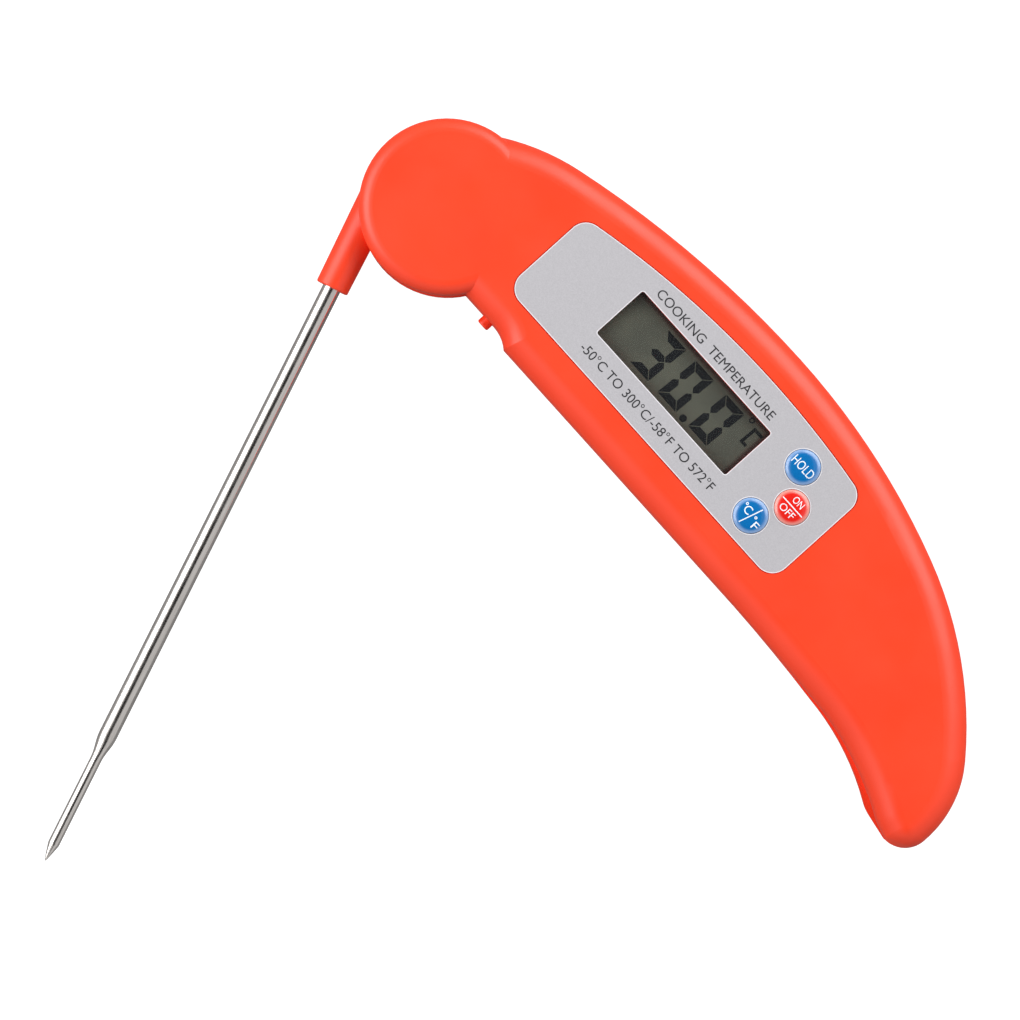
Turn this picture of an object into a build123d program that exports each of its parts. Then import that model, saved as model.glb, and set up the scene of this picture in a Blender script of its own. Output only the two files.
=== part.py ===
from build123d import *
import math
import os

# Folding digital meat thermometer, millimetres.
# Origin: the hinge axis of the probe arm, on the flat back. +X runs along the display towards
# the tail, +Y towards the handle's long convex edge, +Z out of the display face.

# ---- case ----
THICKNESS = 18.0
SEAM_Z = THICKNESS / 2  # the two shells meet here, and the probe's axis lies in this plane
WALL = 1.8
HANDLE_EDGE_R = 4.6  # rounding of the handle's front and back rims
HEAD_R = 15.8
HEAD_EDGE_R = 2.6
INNER_TOP = THICKNESS - WALL
HOLLOW_STEP = 1.7  # the hollow steps in beside the floor and the face, where the rims are round
LIP_HEIGHT = 1.0  # tongue of the rear shell inside the front shell
LIP_WALL = 0.8
FIT = 0.05

# ---- hinge between the two discs of the head ----
HUB_R = 15.6
HUB_Z = (5.2, 12.9)
HUB_BAY_Z = (4.8, 13.2)
HUB_BAY_R = 16.1
BAY_WALL_R = 17.6  # outside of the curved wall that closes the handle off from the hub
BUSH_R = 4.0
BUSH_CLEARANCE = 0.06
PIVOT_SHANK_R = 1.3
PIVOT_HEAD_R = 2.4
PIVOT_HEAD_Z = (1.2, 3.0)
WASHER_R = (4.2, 5.6)
HUB_POCKET_R = (5.8, 12.8)
HUB_POCKET_FLOOR = 7.4
CORE_R = (6.0, 12.6)  # hollows in the two discs of the head
CORE_DEPTH = 2.6
WIRE_SLOT_WIDTH = 2.6
WIRE_SLOT_TOP = 14.8

# ---- arm and probe, drawn pointing along +X before they are turned to rest ----
ARM_OFFSET = 12.2  # the probe's axis passes the hinge axis at this distance
ARM_REST_ANGLE = -68.6
ARM_ROOT_R = 3.38
ARM_MOUTH_R = 3.05
ARM_MOUTH = 22.1  # distances from here on are along the probe
TUBE_START = 8.0
TUBE_R = 1.7
TUBE_BORE_R = 1.45
SOCKET_R = 2.05  # the tube is upset to this inside the arm, so that it cannot pull out
NECK_START = 112.4
NECK_END = 116.4
TIP_R = 0.85
TIP_BORE_R = 0.6
TIP_BORE_END = 133.7
TAPER_START = 134.2
TIP_END = 137.3
TIP_FLAT_R = 0.12
BEAD_X = 133.0
BEAD_R = 0.52
WIRE_R = 0.2
WIRE_PITCH = 0.5

# ---- display stack ----
WINDOW = (34.65, 68.9, 4.7, 15.9)  # x from, x to, y from, y to
LABEL_Z = (17.65, 17.9)
LABEL_X = (17.95, 88.4)
LABEL_FOOT_Y = -1.77
LABEL_SIDE_Y = (16.85, 20.3)  # where the bowed top meets the two short sides
LABEL_CREST = (57.0, 22.15)
LABEL_CORNER_R = 3.4
LABEL_GAP = 0.2
WINDOW_CORNER_R = 0.5
LENS_Z = (16.8, 17.6)
LENS_MARGIN = 1.6
LCD_X = (31.5, 72.0)
LCD_Y = (1.9, 18.7)
LCD_LEDGE = 2.2  # strip of the upper glass that rests on the contact rubber
LCD_TOP = 15.6
GLASS = 0.7
FILM = 0.2
FRAME_WALL = 1.1
BOARD_Z = (9.2, 10.0)

# ---- buttons ----
BUTTON_AT = {
    "hold_button": (77.12, 16.01),
    "power_button": (81.12, 9.76),
    "unit_button": (77.28, 3.31),
}
BUTTON_R = 3.2
BUTTON_HOLE_R = 3.28
BUTTON_RIM_Z = 18.0
BUTTON_TOP_Z = 18.55
BUTTON_FLANGE_R = 3.55
BUTTON_FLANGE_Z = (15.6, 16.1)
BUTTON_STEM_R = 1.0
BUTTON_STEM_FOOT = 14.8
SWITCH_SIZE = 4.5
SWITCH_TOP = 13.4
SWITCH_PIN_R = 0.9
SWITCH_PIN_TOP = 14.35

# ---- battery bay ----
BATTERY_AT = (103.5, 6.0)
CELL_R = 5.8
CELL_Z = (2.4, 7.8)
CELL_RING_R = (6.05, 7.25)
CELL_RING_FOOT = 3.6
WELL_R = (10.9, 12.0)
DECK_Z = (8.0, 8.8)
DECK_HOLE_R = 4.0
DOOR_HOLE_R = 9.5
DOOR_SEAT_R = 11.15
DOOR_SEAT_Z = (1.1, 2.1)  # the seat that the lugs turn under
DOOR_R = 11.0
DOOR_NECK_R = 8.7
DOOR_Z = (0.25, 1.05, 2.15, 2.35)  # outer face, neck from, neck to, inner face
DOOR_LUG_R = 10.55
DOOR_LUG_ANGLE = 26.0
DOOR_NOTCH_R = 10.8
DOOR_NOTCH_ANGLE = 32.0
DOOR_TURN = 40.0
DOOR_REST = 20.0  # where the lugs lie when the door is locked
SEAL_R = 0.37
COIN_SLOT = (11.0, 1.6, 0.7)

# ---- fasteners ----
CASE_SCREWS = ((20.5, 18.5), (62.0, -4.4), (88.0, 21.5), (121.0, 2.0))
CASE_SCREW_HEAD_R = 2.1
CASE_SCREW_HEAD_Z = (1.6, 3.2)
CASE_SCREW_R = 1.0
CASE_SCREW_TOP = 15.2
CASE_BORE_R = 2.4
CASE_BOSS_R = 3.0
BOARD_SCREWS = ((25.5, 4.0), (25.5, 12.5), (88.0, 0.8), (88.5, 13.5))
BOARD_SCREW_HEAD_R = 1.7
BOARD_SCREW_HEAD = 1.1
BOARD_SCREW_R = 0.8
BOARD_SCREW_TOP = 14.2
BOARD_POST_R = 2.0

# ---- plunger that the folded arm presses to switch off ----
PLUNGER_X = 19.83
PLUNGER_R = 1.22
PLUNGER_TIP_Y = -9.45
PLUNGER_END_Y = -1.9
PLUNGER_COLLAR_R = 1.9
PLUNGER_COLLAR_Y = (-6.1, -5.3)
PLUNGER_FINGER = (1.2, 0.8, 12.6)  # width, thickness, top
SPRING_END_Y = -3.6
SPRING_R = 1.6
SPRING_WIRE_R = 0.17
SPRING_TURNS = 3.5
RIB = 0.8
FOLD_SWITCH_Y = (-0.4, 2.4)
FOLD_SWITCH_WIDTH = 3.4
FOLD_SWITCH_PIN_Z = 11.75

# ---- handle outline ----
SHOULDER_ROOT = (-3.05, 15.44)
SHOULDER_END = (11.0, 22.06)
CREST = (62.6, 28.83)
BACK_BEND = (105.0, 22.14)
TAIL_BEND = (135.84, 2.59)
TAIL_WIDEST = (141.49, -12.66)
TAIL_TOE = (137.15, -17.47)
TAIL_HEEL = (130.85, -16.4)
TAIL_HOLLOW = (120.17, -12.12)
BELLY_END = (109.5, -10.5)
BELLY_BEND = (99.0, -9.82)
BELLY_START = (88.0, -9.5)
NOTCH_CORNER = (25.68, -9.5)
NOTCH_TOP = (21.3, -7.97)
NOTCH_ARC_R = 7.0
NECK_ROOT = (-3.05, -7.97)
TAIL_HEEL_R = 8.0
# the front shell stands back along the tail, so that a fingertip reaches the probe
LIP_TOE = (136.3, -17.3)
LIP_HEEL = (133.2, -16.4)
LIP_HOLLOW = (122.6, -12.2)
HOLLOW_BEND = (122.0, -11.0)  # the room inside has a plainer tail
LIP_END = (109.5, -10.2)
TIP_SLOT = (124.0, 138.4, -14.3, 2.0)  # x from, x to, inner edge in y, half height


def block(x0, x1, y0, y1, z0, z1):
    """A box between two opposite corners."""
    middle = ((x0 + x1) / 2, (y0 + y1) / 2, (z0 + z1) / 2)
    return Pos(*middle) * Box(x1 - x0, y1 - y0, z1 - z0)


def post(radius, z0, z1, at=(0.0, 0.0)):
    """A round post standing along Z."""
    return Pos(at[0], at[1], (z0 + z1) / 2) * Cylinder(radius, z1 - z0)


def ring(inner, outer, z0, z1, at=(0.0, 0.0)):
    """A flat ring or a tube standing along Z."""
    return post(outer, z0, z1, at) - post(inner, z0 - 1.0, z1 + 1.0, at)


def prism(face, z0, z1):
    """A flat outline raised from one height to another."""
    return extrude(Pos(0, 0, z0) * face, z1 - z0)


def across(radius, y0, y1, x, z):
    """A round post lying along Y."""
    return Pos(x, (y0 + y1) / 2, z) * Rot(90, 0, 0) * Cylinder(radius, y1 - y0)


def along(radius, x0, x1, y, z, end_radius=None):
    """A round bar or cone lying along X."""
    place = Pos((x0 + x1) / 2, y, z) * Rot(0, 90, 0)
    if end_radius is None:
        return place * Cylinder(radius, x1 - x0)
    return place * Cone(radius, end_radius, x1 - x0)


def sector(inner, outer, middle_angle, width_angle, z0, z1, at):
    """A piece of a ring, as wide as the given angle."""
    half = math.radians(width_angle / 2)
    reach = outer * 1.6
    wedge = Polyline(
        (0, 0), (reach * math.cos(half), -reach * math.sin(half)),
        (reach * math.cos(half), reach * math.sin(half)), (0, 0),
    )
    slice_ = extrude(Pos(0, 0, z0) * make_face(wedge), z1 - z0)
    piece = ring(inner, outer, z0, z1) & (Rot(0, 0, middle_angle) * slice_)
    return Pos(at[0], at[1], 0) * piece


def tail_edges(side):
    """The concave side of the tail, from the toe to the belly."""
    if side == "inside":
        return [Line(TAIL_TOE, HOLLOW_BEND), Line(HOLLOW_BEND, BELLY_START)]
    if side == "front":
        return [
            Line(TAIL_TOE, LIP_TOE),
            Line(LIP_TOE, LIP_HEEL),
            ThreePointArc(LIP_HEEL, LIP_HOLLOW, LIP_END),
            ThreePointArc(LIP_END, BELLY_BEND, BELLY_START),
        ]
    return [
        Line(TAIL_TOE, TAIL_HEEL),
        ThreePointArc(TAIL_HEEL, TAIL_HOLLOW, BELLY_END),
        ThreePointArc(BELLY_END, BELLY_BEND, BELLY_START),
    ]


def handle_face(side):
    """The handle's outline at the front, at the rear or for the hollow inside it.

    It starts inside the round head.
    """
    rise = TangentArc(CREST, SHOULDER_END, tangent=(-1, 0))
    shoulder = TangentArc(SHOULDER_END, SHOULDER_ROOT, tangent=rise % 1)
    back = TangentArc(CREST, BACK_BEND, tangent=(1, 0))
    fall = TangentArc(BACK_BEND, TAIL_BEND, tangent=back % 1)
    turn = TangentArc(TAIL_BEND, TAIL_WIDEST, tangent=fall % 1)
    toe = TangentArc(TAIL_WIDEST, TAIL_TOE, tangent=turn % 1)
    notch = RadiusArc(NOTCH_CORNER, NOTCH_TOP, -NOTCH_ARC_R)
    edges = [rise, shoulder, back, fall, turn, toe, notch]
    edges += tail_edges(side)
    edges += [
        Line(BELLY_START, NOTCH_CORNER),
        Line(NOTCH_TOP, NECK_ROOT),
        Line(NECK_ROOT, SHOULDER_ROOT),
    ]
    face = make_face(Curve() + edges)
    if side == "inside":
        return face
    heel = LIP_HEEL if side == "front" else TAIL_HEEL
    corners = face.vertices().sort_by_distance(Vector(heel[0], heel[1], 0))
    return fillet(corners[0], TAIL_HEEL_R)


def inset(face, amount):
    """The same outline, moved inwards."""
    return offset(face, amount=-amount)


def rim(body, radius, front):
    """Round the front or back rim of a body."""
    edges = body.edges().group_by(Axis.Z)[-1 if front else 0]
    return fillet(edges, radius)


def half_case(front):
    """Half of the case as one solid lump, before it is hollowed."""
    z0, z1 = (SEAM_Z, THICKNESS) if front else (0.0, SEAM_Z)
    outline = handle_face("front" if front else "rear")
    handle = rim(prism(outline, z0, z1), HANDLE_EDGE_R, front)
    head = rim(post(HEAD_R, z0, z1), HEAD_EDGE_R, front)
    return handle + head


def handle_hollow(front):
    """The room inside half of the handle, short of the hub and of the probe tip's slot."""
    outline = handle_face("inside")
    step = HOLLOW_STEP
    if front:
        room = prism(inset(outline, WALL), SEAM_Z - 1.0, INNER_TOP - step)
        room += prism(inset(outline, WALL + step), SEAM_Z - 1.0, INNER_TOP)
    else:
        room = prism(inset(outline, WALL), WALL + step, SEAM_Z + 1.0)
        room += prism(inset(outline, WALL + step), WALL, SEAM_Z + 1.0)
    room -= post(BAY_WALL_R, -1.0, THICKNESS + 1.0)
    x0, x1, y0, half = TIP_SLOT
    return room - block(x0, x1 + 9.0, y0 - 9.0, y0 + WALL, -1.0, THICKNESS + 1.0)


def hub_bay():
    """What both shells give up for the hub, the plunger and the probe's tip."""
    x0, x1, y0, half = TIP_SLOT
    bay = post(HUB_BAY_R, HUB_BAY_Z[0], HUB_BAY_Z[1])
    bay += block(-25.0, -1.0, 0.0, 25.0, HUB_BAY_Z[0], HUB_BAY_Z[1])
    tip = block(x0, x1, y0 - 9.0, y0, SEAM_Z - half, SEAM_Z + half)
    hole = across(PLUNGER_R + FIT, -12.0, -5.0, PLUNGER_X, SEAM_Z)
    return [bay, tip, hole]


def head_core(z_open, z_closed):
    """The hollow in one disc of the head, which keeps its wall even."""
    low, high = sorted((z_open, z_closed))
    return ring(CORE_R[0], CORE_R[1], low, high)


def front_shell():
    """Front half of the case, with posts for the board and the case screws."""
    shell = half_case(True) - handle_hollow(True)
    for place in CASE_SCREWS:
        shell += post(CASE_BOSS_R - 0.4, SEAM_Z, INNER_TOP + 0.4, place)
    for place in BOARD_SCREWS:
        shell += post(BOARD_POST_R, BOARD_Z[1], INNER_TOP + 0.4, place)
    lip_room = prism(inset(handle_face("inside"), WALL - LIP_WALL - FIT), SEAM_Z, SEAM_Z + LIP_HEIGHT + FIT)
    lip_room -= post(BAY_WALL_R + FIT, 0.0, THICKNESS)
    lip_room -= block(TIP_SLOT[0] - 1.0, 150.0, -25.0, TIP_SLOT[2] + WALL, 0.0, THICKNESS)
    shell -= lip_room
    for gap in hub_bay():
        shell -= gap
    shell -= head_core(HUB_BAY_Z[1], HUB_BAY_Z[1] + CORE_DEPTH)
    slot = WIRE_SLOT_WIDTH / 2
    shell -= block(CORE_R[0] + 1.0, BAY_WALL_R + 1.5, -slot, slot, HUB_BAY_Z[1] - 0.1, WIRE_SLOT_TOP)
    shell -= post(PIVOT_SHANK_R, HUB_BAY_Z[1] - 1.0, INNER_TOP, (0.0, 0.0))
    shell -= prism(label_face(LABEL_GAP), LABEL_Z[0], THICKNESS + 1.0)
    x0, x1, y0, y1 = WINDOW
    m = LENS_MARGIN
    shell -= block(x0 - m, x1 + m, y0 - m, y1 + m, LENS_Z[0], THICKNESS)
    shell -= window_opening(SEAM_Z)
    for place in BUTTON_AT.values():
        shell -= post(BUTTON_HOLE_R, INNER_TOP - 1.0, THICKNESS + 1.0, place)
    for place in CASE_SCREWS:
        shell -= post(CASE_SCREW_R, SEAM_Z - 1.0, CASE_SCREW_TOP + 0.4, place)
    for place in BOARD_SCREWS:
        shell -= post(BOARD_SCREW_R, BOARD_Z[1] - 1.0, BOARD_SCREW_TOP + 0.3, place)
    return shell


def battery_well():
    """Tower on the rear shell that keeps the battery apart from the board."""
    well = ring(WELL_R[0], WELL_R[1], WALL - 0.3, DECK_Z[1], BATTERY_AT)
    well += ring(DOOR_HOLE_R, WELL_R[1] - 0.5, DOOR_SEAT_Z[0], DOOR_SEAT_Z[1], BATTERY_AT)
    well += ring(DECK_HOLE_R, WELL_R[1], DECK_Z[0], DECK_Z[1], BATTERY_AT)
    well += ring(CELL_RING_R[0], CELL_RING_R[1], CELL_RING_FOOT, DECK_Z[1], BATTERY_AT)
    x, y = BATTERY_AT
    return well - block(x - 8.0, x - CELL_R, y - 1.8, y + 1.8, CELL_RING_FOOT - 1.0, DECK_Z[1] + 1.0)


def rear_shell():
    """Rear half of the case, with the battery well, the lip and the screw bosses."""
    shell = half_case(False) - handle_hollow(False)
    outline = handle_face("inside")
    lip = prism(inset(outline, WALL - LIP_WALL), SEAM_Z - 0.5, SEAM_Z + LIP_HEIGHT)
    lip -= prism(inset(outline, WALL), SEAM_Z - 1.0, SEAM_Z + LIP_HEIGHT + 1.0)
    lip -= post(BAY_WALL_R + 0.4, 0.0, THICKNESS)
    lip -= block(TIP_SLOT[0] - 1.4, 150.0, -25.0, TIP_SLOT[2] + WALL + 0.4, 0.0, THICKNESS)
    shell += lip
    for place in CASE_SCREWS:
        shell += post(CASE_BOSS_R, WALL - 0.4, SEAM_Z, place)
    shell += battery_well()
    shell += block(17.9, 21.9, SPRING_END_Y, SPRING_END_Y + RIB, WALL - 0.4, SEAM_Z)
    for gap in hub_bay():
        shell -= gap
    shell -= across(PLUNGER_R + FIT, SPRING_END_Y - 1.0, SPRING_END_Y + 2.0, PLUNGER_X, SEAM_Z)
    shell -= head_core(HUB_BAY_Z[0], HUB_BAY_Z[0] - CORE_DEPTH)
    shell -= post(PIVOT_SHANK_R + 0.1, 0.0, THICKNESS)
    shell -= post(PIVOT_HEAD_R + 0.2, -1.0, PIVOT_HEAD_Z[1])
    for place in CASE_SCREWS:
        shell -= post(CASE_SCREW_R + 0.15, -1.0, SEAM_Z + 1.0, place)
        shell -= post(CASE_BORE_R, -1.0, CASE_SCREW_HEAD_Z[1], place)
    shell -= post(DOOR_SEAT_R, -1.0, DOOR_SEAT_Z[0], BATTERY_AT)
    shell -= post(DOOR_HOLE_R, -1.0, DOOR_SEAT_Z[1] + 0.1, BATTERY_AT)
    for side in (0.0, 180.0):
        angle = side + DOOR_REST + DOOR_TURN
        top = DOOR_SEAT_Z[1] + 0.1
        notch = sector(DOOR_HOLE_R - 1.0, DOOR_NOTCH_R, angle, DOOR_NOTCH_ANGLE, 0.0, top, BATTERY_AT)
        shell -= notch
    return shell


def window_opening(z0):
    """The opening over the display, from this height up, with its rounded corners."""
    opening = block(*WINDOW, z0, THICKNESS)
    return fillet(opening.edges().filter_by(Axis.Z), WINDOW_CORNER_R)


def label_face(margin):
    """The label's outline: a straight foot, two short sides and a bowed top."""
    left, right = LABEL_X
    low, high = LABEL_SIDE_Y
    edges = [
        Line((left, LABEL_FOOT_Y), (right, LABEL_FOOT_Y)),
        Line((right, LABEL_FOOT_Y), (right, high)),
        ThreePointArc((right, high), LABEL_CREST, (left, low)),
        Line((left, low), (left, LABEL_FOOT_Y)),
    ]
    face = make_face(Curve() + edges)
    face = fillet(face.vertices(), LABEL_CORNER_R)
    if margin == 0.0:
        return face
    return offset(face, amount=margin)


def display_label():
    """Printed film on the front, open over the window and round the buttons."""
    label = prism(label_face(0.0), LABEL_Z[0], LABEL_Z[1])
    label -= window_opening(0.0)
    for place in BUTTON_AT.values():
        label -= post(BUTTON_HOLE_R, 0.0, THICKNESS, place)
    return label


def display_window():
    """Clear lens in its rebate under the label."""
    x0, x1, y0, y1 = WINDOW
    m = LENS_MARGIN - 0.1
    lens = block(x0 - m, x1 + m, y0 - m, y1 + m, LENS_Z[0], LENS_Z[1])
    return fillet(lens.edges().filter_by(Axis.Z), 0.6)


def button(place):
    """A domed cap with a retaining flange and a stem."""
    body = post(BUTTON_R, BUTTON_FLANGE_Z[1] - 0.1, BUTTON_RIM_Z, place)
    rise = BUTTON_TOP_Z - BUTTON_RIM_Z
    dome_r = (BUTTON_R**2 + rise**2) / (2 * rise)
    dome = Pos(place[0], place[1], BUTTON_TOP_Z - dome_r) * Sphere(dome_r)
    body += dome & post(BUTTON_R, BUTTON_RIM_Z, BUTTON_TOP_Z + 1.0, place)
    body += post(BUTTON_FLANGE_R, BUTTON_FLANGE_Z[0], BUTTON_FLANGE_Z[1], place)
    return body + post(BUTTON_STEM_R, BUTTON_STEM_FOOT, BUTTON_FLANGE_Z[0], place)


def lcd_front_polariser():
    """Polarising film on the upper glass."""
    m = 0.85
    x0, x1, y0, y1 = WINDOW
    return block(x0 - m, x1 + m, y0 - m, y1 + m, LCD_TOP, LCD_TOP + FILM)


def lcd_glass_front():
    """Upper glass, with the two ledges that carry the contacts."""
    return block(LCD_X[0], LCD_X[1], LCD_Y[0], LCD_Y[1], LCD_TOP - GLASS, LCD_TOP)


def lcd_glass_rear():
    """Lower glass, narrower by the two ledges."""
    top = LCD_TOP - GLASS
    return block(LCD_X[0], LCD_X[1], LCD_Y[0] + LCD_LEDGE, LCD_Y[1] - LCD_LEDGE, top - GLASS, top)


def lcd_reflector():
    """Rear polariser with its silvered back."""
    top = LCD_TOP - 2 * GLASS
    y0 = LCD_Y[0] + LCD_LEDGE + 0.2
    y1 = LCD_Y[1] - LCD_LEDGE - 0.2
    return block(LCD_X[0] + 0.5, LCD_X[1] - 0.5, y0, y1, top - FILM, top)


def lcd_frame():
    """Moulded frame that holds the glass and the contact rubber on the board."""
    x0, x1 = LCD_X[0] - 0.1, LCD_X[1] + 0.1
    y0, y1 = LCD_Y[0] - 0.1, LCD_Y[1] + 0.1
    w = FRAME_WALL
    frame = block(x0 - w, x1 + w, y0 - w, y1 + w, BOARD_Z[1], INNER_TOP - 0.05)
    frame -= block(x0, x1, y0, y1, BOARD_Z[1] - 1.0, LCD_TOP + 0.05)
    m = 1.0
    return frame - block(WINDOW[0] - m, WINDOW[1] + m, WINDOW[2] - m, WINDOW[3] + m, 0.0, THICKNESS)


def zebra_strips():
    """Two strips of striped rubber that join the glass to the board."""
    width = LCD_LEDGE - 0.3
    top = LCD_TOP - GLASS
    strips = [
        block(LCD_X[0] + 0.5, LCD_X[1] - 0.5, y, y + width, BOARD_Z[1], top)
        for y in (LCD_Y[0] + 0.05, LCD_Y[1] - 0.05 - width)
    ]
    return Compound(strips)


def circuit_board():
    """Printed circuit board, cut back round the plunger and the bosses."""
    outline = Polyline(
        (18.3, -0.5), (23.2, -0.5), (23.2, -1.3), (112.0, -1.3), (112.0, 13.0), (106.0, 15.0),
        (82.0, 17.6), (75.0, 20.3), (28.5, 20.3), (18.3, 12.0), (18.3, -0.5),
    )
    board = prism(make_face(outline), BOARD_Z[0], BOARD_Z[1])
    for place in BOARD_SCREWS:
        board -= post(BOARD_SCREW_R + 0.1, 0.0, THICKNESS, place)
    return board


def chip_blob():
    """Black resin over the bonded chip, under the board."""
    rise = 1.3
    spread = 5.0
    blob_r = (spread**2 + rise**2) / (2 * rise)
    ball = Pos(50.0, 8.0, BOARD_Z[0] - rise + blob_r) * Sphere(blob_r)
    return ball & block(40.0, 60.0, -2.0, 18.0, 0.0, BOARD_Z[0])


def smd_passives():
    """Chip resistors and capacitors under the board."""
    parts = []
    for i, x in enumerate((34.0, 38.0, 62.0, 66.0, 70.0, 74.0)):
        y = 3.0 + 9.0 * (i % 2)
        parts.append(block(x, x + 2.0, y, y + 1.25, BOARD_Z[0] - 0.6, BOARD_Z[0]))
    parts.append(block(80.0, 84.0, 4.0, 8.5, BOARD_Z[0] - 1.5, BOARD_Z[0]))
    return Compound(parts)


def tact_switches():
    """The three push switches under the buttons."""
    half = SWITCH_SIZE / 2
    switches = []
    for x, y in BUTTON_AT.values():
        body = block(x - half, x + half, y - half, y + half, BOARD_Z[1], SWITCH_TOP)
        switches.append(body + post(SWITCH_PIN_R, SWITCH_TOP, SWITCH_PIN_TOP, (x, y)))
    return Compound(switches)


def board_screws():
    """Four screws that hold the board to the front shell."""
    screws = []
    for place in BOARD_SCREWS:
        head = post(BOARD_SCREW_HEAD_R, BOARD_Z[0] - BOARD_SCREW_HEAD, BOARD_Z[0], place)
        shank = post(BOARD_SCREW_R, BOARD_Z[0], BOARD_SCREW_TOP, place)
        screws.append(head + shank - cross_recess(place, BOARD_Z[0] - BOARD_SCREW_HEAD, 1.8, 0.5))
    return Compound(screws)


def cross_recess(place, z, span, depth):
    """The cross in a screw head that faces the back."""
    x, y = place
    arm = span / 2
    thin = span / 7
    cross = block(x - arm, x + arm, y - thin, y + thin, z - 0.1, z + depth)
    return cross + block(x - thin, x + thin, y - arm, y + arm, z - 0.1, z + depth)


def housing_screws():
    """Four screws that hold the shells together, from the back."""
    screws = []
    for place in CASE_SCREWS:
        head = post(CASE_SCREW_HEAD_R, CASE_SCREW_HEAD_Z[0], CASE_SCREW_HEAD_Z[1], place)
        head = fillet(head.edges().group_by(Axis.Z)[0], 0.5)
        shank = post(CASE_SCREW_R, CASE_SCREW_HEAD_Z[1], CASE_SCREW_TOP, place)
        screws.append(head + shank - cross_recess(place, CASE_SCREW_HEAD_Z[0], 2.4, 0.8))
    return Compound(screws)


def battery_contact_negative():
    """Leaf that presses on the middle of the cell, through the deck."""
    x, y = BATTERY_AT
    leaf = Polyline(
        (x - 3.0, BOARD_Z[0]), (x - 3.0, CELL_Z[1] + 0.9), (x + 1.6, CELL_Z[1]),
        (x + 1.6, CELL_Z[1] + 0.25), (x - 2.75, CELL_Z[1] + 1.1), (x - 2.75, BOARD_Z[0]),
        (x - 3.0, BOARD_Z[0]),
    )
    upright = Plane(origin=(0, y + 1.5, 0), x_dir=(1, 0, 0), z_dir=(0, -1, 0))
    return extrude(upright * make_face(leaf), 3.0)


def battery_contact_positive():
    """Leaf that presses on the side of the cell."""
    x, y = BATTERY_AT
    back = x - CELL_R - 0.3
    leaf = block(back, back + 0.25, y - 1.5, y + 1.5, CELL_RING_FOOT + 0.2, BOARD_Z[0])
    return leaf + block(back - 1.2, back + 0.25, y - 1.5, y + 1.5, BOARD_Z[0] - 0.25, BOARD_Z[0])


def battery_cell():
    """Button cell, its smaller cap towards the board."""
    cap = 0.9
    can = post(CELL_R, CELL_Z[0], CELL_Z[1] - cap, BATTERY_AT)
    can = fillet(can.edges().group_by(Axis.Z)[-1], 0.5)
    return can + post(CELL_R - 0.9, CELL_Z[1] - cap - 0.1, CELL_Z[1], BATTERY_AT)


def battery_door():
    """Round door with a coin slot outside and two bayonet lugs inside."""
    outer, neck_from, neck_to, inner = DOOR_Z
    door = post(DOOR_R, outer, neck_from, BATTERY_AT)
    door += post(DOOR_NECK_R, neck_from, neck_to, BATTERY_AT)
    door += post(DOOR_NECK_R + 0.3, neck_to, inner, BATTERY_AT)
    for side in (0.0, 180.0):
        door += sector(
            DOOR_NECK_R - 1.0, DOOR_LUG_R, side + DOOR_REST, DOOR_LUG_ANGLE, neck_to, inner + 0.45, BATTERY_AT
        )
    length, width, depth = COIN_SLOT
    x, y = BATTERY_AT
    return door - block(x - length / 2, x + length / 2, y - width / 2, y + width / 2, 0.0, outer + depth)


def battery_door_seal():
    """Rubber ring in the door's neck."""
    middle = (DOOR_Z[1] + DOOR_Z[2]) / 2
    x, y = BATTERY_AT
    return Pos(x, y, middle) * Torus(DOOR_NECK_R + SEAL_R + 0.02, SEAL_R)


def fold_plunger():
    """Plunger that stands out of the neck where the folded arm lies."""
    rod = across(PLUNGER_R, PLUNGER_TIP_Y, PLUNGER_END_Y, PLUNGER_X, SEAM_Z)
    rod = fillet(rod.edges().group_by(Axis.Y)[0], 0.35)
    rod += across(PLUNGER_COLLAR_R, PLUNGER_COLLAR_Y[0], PLUNGER_COLLAR_Y[1], PLUNGER_X, SEAM_Z)
    width, thick, top = PLUNGER_FINGER
    x0 = PLUNGER_X - width / 2
    return rod + block(x0, x0 + width, PLUNGER_END_Y - thick, PLUNGER_END_Y, SEAM_Z, top)


def plunger_spring():
    """Small coil spring that pushes the plunger out."""
    start = PLUNGER_COLLAR_Y[1] + SPRING_WIRE_R
    length = SPRING_END_Y - SPRING_WIRE_R - start
    path = Helix(pitch=length / SPRING_TURNS, height=length, radius=SPRING_R)
    wire = sweep(Plane(origin=path @ 0, z_dir=path % 0) * Circle(SPRING_WIRE_R), path=path)
    return Pos(PLUNGER_X, start, SEAM_Z) * Rot(-90, 0, 0) * wire


def fold_switch():
    """Side push switch at the board's edge, worked by the plunger."""
    half = FOLD_SWITCH_WIDTH / 2
    body = block(PLUNGER_X - half, PLUNGER_X + half, FOLD_SWITCH_Y[0], FOLD_SWITCH_Y[1], BOARD_Z[1], 13.4)
    return body + across(0.6, FOLD_SWITCH_Y[0] - 0.8, FOLD_SWITCH_Y[0], PLUNGER_X, FOLD_SWITCH_PIN_Z)


def pivot_bush():
    """Steel bush on which the hub turns."""
    return ring(PIVOT_SHANK_R + 0.1, BUSH_R, HUB_BAY_Z[0], HUB_BAY_Z[1])


def pivot_screw():
    """Screw through the rear disc and the bush into the front disc."""
    head = post(PIVOT_HEAD_R, PIVOT_HEAD_Z[0], PIVOT_HEAD_Z[1])
    head = fillet(head.edges().group_by(Axis.Z)[0], 0.5)
    shank = post(PIVOT_SHANK_R, PIVOT_HEAD_Z[1], INNER_TOP - 0.4)
    return head + shank - cross_recess((0.0, 0.0), PIVOT_HEAD_Z[0], 2.8, 0.9)


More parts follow.
